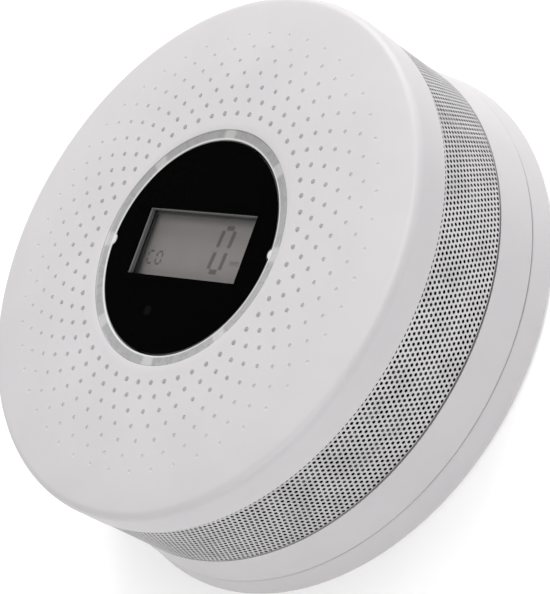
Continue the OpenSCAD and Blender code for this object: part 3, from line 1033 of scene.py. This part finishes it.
def display_marks():
    """The idle reading: a large zero, with the gas and the unit as small segment letters."""
    z = GLASS_TOP + 0.02 * MM
    gap = 0.08

    def letter(x, y, width, height, weight, segments, slant=0.0):
        """One mark, in mm from the face's centre. Its segments are named a to g, as on a digit."""
        corner = {
            "tl": (0, height), "tr": (width, height), "ml": (0, height / 2),
            "mr": (width, height / 2), "bl": (0, 0), "br": (width, 0),
        }
        ends = {
            "a": ("tl", "tr"), "b": ("tr", "mr"), "c": ("mr", "br"), "d": ("bl", "br"),
            "e": ("bl", "ml"), "f": ("ml", "tl"), "g": ("ml", "mr"),
        }
        bars = []
        for s in segments:
            p, q = (Vector(corner[k]) for k in ends[s])
            inset = (q - p).normalized() * weight * gap
            p, q = p + inset, q - inset
            lean = [(x + v.x + slant * v.y, y + v.y) for v in (p, q)]
            bars.append(stroke("bar", *[(a * MM, b * MM) for a, b in lean], weight * MM, z))
        return bars

    marks = letter(4.05, -3.8, 3.3, 9.6, 1.0, "abcdef", 0.085)
    gas = {"width": 1.65, "height": 2.7, "weight": 0.45}
    for x, segments in ((-15.1, "adef"), (-12.55, "abcdef")):
        marks += letter(x, -3.3, segments=segments, **gas)
    unit = {"width": 0.55, "height": 1.05, "weight": 0.17}
    for i, segments in enumerate(("abefg", "abefg", "abcef")):
        marks += letter(9.85 + i * 0.95, -2.3, segments=segments, **unit)
    marks = join("display_marks", marks)
    marks.data.materials.clear()
    marks.data.materials.append(moulded("display_marks", rgb(0.112, 0.103, 0.1), 0.3))
    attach(marks, "head")


# ---------- springs ----------


def coil(name, radius, wire, low, high, turns, taper=0.0):
    """A wound spring along Z: a Screw modifier sweeps a wire's section, and the ends are closed."""
    deselect()
    bpy.ops.mesh.primitive_circle_add(
        vertices=10, radius=wire, rotation=(math.pi / 2, 0, 0), location=(radius, 0, low + wire)
    )
    spring = settle(named(name))
    modify(
        spring,
        "SCREW",
        angle=2 * math.pi * turns,
        screw_offset=high - low - 2 * wire,
        iterations=1,
        steps=28 * turns,
        render_steps=28 * turns,
        use_merge_vertices=False,
    )
    edit(spring)
    bpy.ops.mesh.select_non_manifold()
    bpy.ops.mesh.fill_holes(sides=0)
    face_outwards()
    done()
    if taper:
        reach = high - low

        def cone(x, y, z):
            k = 1 - taper * (z - low) / reach
            return x * k, y * k, z

        reshape(spring, cone)
    return spring


def button_springs():
    low, high = (corner.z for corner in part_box("button_springs"))
    springs = []
    for x, y in ((0, 15), (-13, -13), (13, -13)):
        spring = coil("button_spring", 1.85 * MM, 0.22 * MM, low, high, 5)
        spring.location = (x * MM, y * MM, 0)
        springs.append(settle(spring))
    springs = finish_piece(join("button_spring_coils", springs), "button_springs", 60)
    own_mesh(springs)


def cell_springs():
    outer_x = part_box("cell_springs")[1].x
    reach = outer_x - CELL_END_X
    springs = []
    for side, y in ((-1, -18.5), (1, -33.1)):
        spring = coil("cell_spring", 4 * MM, 0.35 * MM, 0, reach, 4, taper=0.35)
        spring.rotation_euler.y = math.copysign(math.pi / 2, -side)
        spring.location = (side * outer_x, y * MM, CELL_Z)
        springs.append(settle(spring))
    finish_piece(join("cell_spring_coils", springs), "cell_springs", 60)


# ---------- the studio ----------

LAMP_DISTANCE = 1.5


def stage():
    """A pale floor, just under the object, that turns up into a low wall all round. It glows,
    painted light on the object from below, and is darker and glows less towards -Y, painted shade
    on the object's -Y side.
    """
    middle = 0.02
    wall = [(1.6, 0), (2.0, 0.05), (2.25, 0.2), (2.35, 0.42), (2.35, 0.8)]
    floor = turned("studio_floor", [(middle, 0)] + wall, 96, close=False)
    edit(floor)
    pick(floor, lambda co: co.xy.length < middle + 1e-4)
    bpy.ops.mesh.edge_face_add()
    pick_all()
    bpy.ops.mesh.normals_make_consistent(inside=True)
    done()
    floor.location.z = -0.3 * MM
    settle(floor)
    smooth(floor, 60)
    # the paper glows: painted light on the object from below
    paper = Finish("glowing_studio_paper", Roughness=0.9, Emission_Strength=0.34)
    tone = paper.noise(0.6, detail=1)
    _, y, _ = paper.axes()
    # towards -Y the paper is darker and glows less: painted shade for the object's -Y side
    lit = y.over(-1.1, -0.15)
    white = paper.colours(tone, rgb(0.765, 0.765, 0.765), rgb(0.785, 0.785, 0.785))
    paper.to(
        Base_Color=paper.colours(lit, rgb(0.6, 0.6, 0.6), white),
        Emission_Color=paper.colours(lit, rgb(0.25, 0.25, 0.25), rgb(1, 1, 1)),
    )
    floor.data.materials.append(paper.material)


def softbox(name, direction, size, power):
    """A square area light that faces the object from a direction."""
    light = bpy.data.lights.new(name, "AREA")
    light.shape = "SQUARE"
    light.size = size
    light.energy = power
    lamp = bpy.data.objects.new(name, light)
    bpy.context.scene.collection.objects.link(lamp)
    away = Vector(direction).normalized()
    lamp.location = away * LAMP_DISTANCE + Vector((0, 0, FACE_Z / 2))
    lamp.rotation_euler = away.to_track_quat("Z", "Y").to_euler()


def lights():
    world = bpy.data.worlds.new("studio")
    world.use_nodes = True
    background = world.node_tree.nodes["Background"]
    background.inputs["Color"].default_value = rgb(1, 1, 1)
    background.inputs["Strength"].default_value = 0.29
    bpy.context.scene.world = world
    softbox("key", (-0.25, 0.9, 0.45), 0.8, 12.5)
    softbox("top", (0, 0.3, 1), 0.9, 9.8)
    softbox("fill", (0.35, -0.7, 0.75), 0.8, 7)


def camera():
    """The camera looks down on the face from beyond +X, turned so that the display runs uphill."""
    azimuth, elevation, roll = (math.radians(d) for d in (73.567, 41.102, -59.255))
    back = Vector((
        math.sin(azimuth) * math.cos(elevation),
        -math.cos(azimuth) * math.cos(elevation),
        math.sin(elevation),
    ))
    level = Vector((math.cos(azimuth), math.sin(azimuth), 0))
    up = back.cross(level)
    right = math.cos(roll) * level + math.sin(roll) * up
    top = math.cos(roll) * up - math.sin(roll) * level
    distance = 9.009 * COVER_R  # from the middle of the face along the view
    aside, above = -0.3034 * COVER_R, 0.1790 * COVER_R  # the face's middle in the frame
    eye = Vector((0, 0, FACE_Z)) - aside * right - above * top + distance * back
    lens = bpy.data.cameras.new("camera")
    lens.sensor_width = 36
    lens.sensor_fit = "AUTO"
    lens.lens = 155.9
    lens.clip_start, lens.clip_end = 0.01, 20
    view = bpy.data.objects.new("camera", lens)
    bpy.context.scene.collection.objects.link(view)
    view.matrix_world = Matrix((
        (right.x, top.x, back.x, eye.x),
        (right.y, top.y, back.y, eye.y),
        (right.z, top.z, back.z, eye.z),
        (0, 0, 0, 1),
    ))
    bpy.context.scene.camera = view


camera()
front_cover()
vent_band()
light_ring()
window_lens()
display_marks()
button_springs()
cell_springs()
seam_shells()
for node, part in frame["nodes"].items():
    if not part.hide_render:
        dress(part, SLOT_OF[node])
stage()
lights()
bpy.context.scene.view_settings.view_transform = "Standard"
